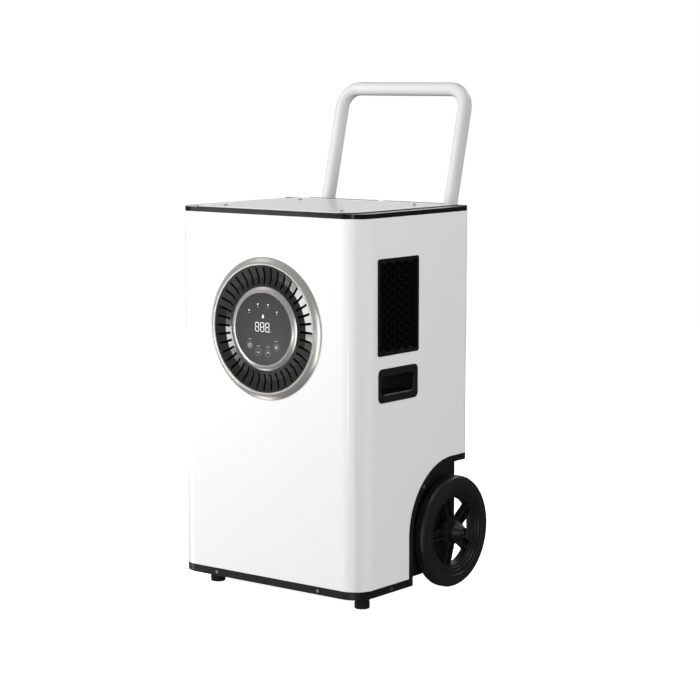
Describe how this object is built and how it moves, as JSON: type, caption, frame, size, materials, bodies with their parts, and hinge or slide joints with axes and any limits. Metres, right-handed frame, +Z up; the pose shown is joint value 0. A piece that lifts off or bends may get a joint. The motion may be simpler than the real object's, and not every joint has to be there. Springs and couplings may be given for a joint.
{
  "type": "dehumidifier",
  "caption": "Upright white cabinet dehumidifier with a round front dial, side outlet grilles and hand grips, a push handle, rear spoked wheels and front feet.",
  "frame": {"origin": "on the floor at the middle of the footprint", "axes": "+Z up, -Y out of the front, +X to the right-hand side seen from the front"},
  "size_m": [0.551, 0.5256, 1.118],
  "materials": {
    "white_shell": "white moulded plastic, satin gloss with a very fine texture",
    "lid": "light grey moulded plastic, glossy",
    "black_plastic": "black moulded plastic, satin",
    "gloss_black": "black moulded plastic, polished",
    "display": "smoked black touch panel, polished",
    "nickel_trim": "brushed satin nickel",
    "wheel_plastic": "black moulded plastic, semi-matt",
    "tyre": "black rubber tread",
    "rubber": "black rubber",
    "handle_paint": "off-white powder coat",
    "steel": "zinc-plated steel",
    "dark_steel": "black-coated steel",
    "compressor_paint": "black enamel",
    "aluminium": "plain fin stock",
    "copper": "drawn copper tube",
    "filter_cloth": "dark woven nylon filter",
    "circuit_board": "green solder mask"
  },
  "bodies": {
    "cabinet": {"base_tray": "black_plastic", "foot_left": "rubber", "foot_right": "rubber", "wheel_arch_left": "black_plastic", "wheel_arch_right": "black_plastic", "front_wrap": "white_shell", "rear_cover": "white_shell", "top_frame": "gloss_black", "lid_panel": "lid", "dial_outer_ring": "nickel_trim", "dial_inner_ring": "nickel_trim", "dial_grille": "gloss_black", "display_housing": "black_plastic", "control_board": "circuit_board", "display_glass": "display", "side_grille_left": "gloss_black", "hand_grip_left": "black_plastic", "side_grille_right": "gloss_black", "hand_grip_right": "black_plastic", "intake_grille": "black_plastic", "axle": "steel", "handle_tube": "handle_paint", "handle_clamp_lower_left": "dark_steel", "handle_clamp_upper_left": "dark_steel", "handle_clamp_lower_right": "dark_steel", "handle_clamp_upper_right": "dark_steel", "evaporator_coil": "aluminium", "condenser_coil": "aluminium", "drain_pan": "black_plastic", "compressor": "compressor_paint", "condensate_pump": "black_plastic", "suction_pipe": "copper", "discharge_pipe": "copper", "drain_hose": "rubber", "fan_shroud": "black_plastic", "fan_motor": "steel", "drain_outlet": "black_plastic", "cord_gland": "black_plastic", "front_screw_left": "steel", "side_screw_left": "steel", "arch_screw_left": "steel", "lid_screw_front_left": "steel", "lid_screw_rear_left": "steel", "front_screw_right": "steel", "side_screw_right": "steel", "arch_screw_right": "steel", "lid_screw_front_right": "steel", "lid_screw_rear_right": "steel"},
    "wheel_left": {"tyre_left": "tyre", "rim_left": "wheel_plastic", "bush_left": "wheel_plastic", "hub_cap_left": "wheel_plastic"},
    "wheel_right": {"tyre_right": "tyre", "rim_right": "wheel_plastic", "bush_right": "wheel_plastic", "hub_cap_right": "wheel_plastic"},
    "fan": {"motor_shaft": "steel", "fan_impeller": "black_plastic"},
    "filter": {"filter_frame": "black_plastic", "filter_mesh": "filter_cloth"}
  },
  "joints": [
    {"name": "wheel_left_spin", "type": "hinge", "parent": "cabinet", "child": "wheel_left", "pos_m": [-0.2385, 0.10164, 0.125], "axis": [1, 0, 0], "continuous": true},
    {"name": "wheel_right_spin", "type": "hinge", "parent": "cabinet", "child": "wheel_right", "pos_m": [0.2385, 0.10164, 0.125], "axis": [1, 0, 0], "continuous": true},
    {"name": "fan_spin", "type": "hinge", "parent": "cabinet", "child": "fan", "pos_m": [0, 0.01124, 0.56], "axis": [0, 1, 0], "continuous": true},
    {"name": "filter_slide", "type": "slide", "parent": "cabinet", "child": "filter", "axis": [0, 0, 1], "range_m": [0, 0.32]}
  ]
}
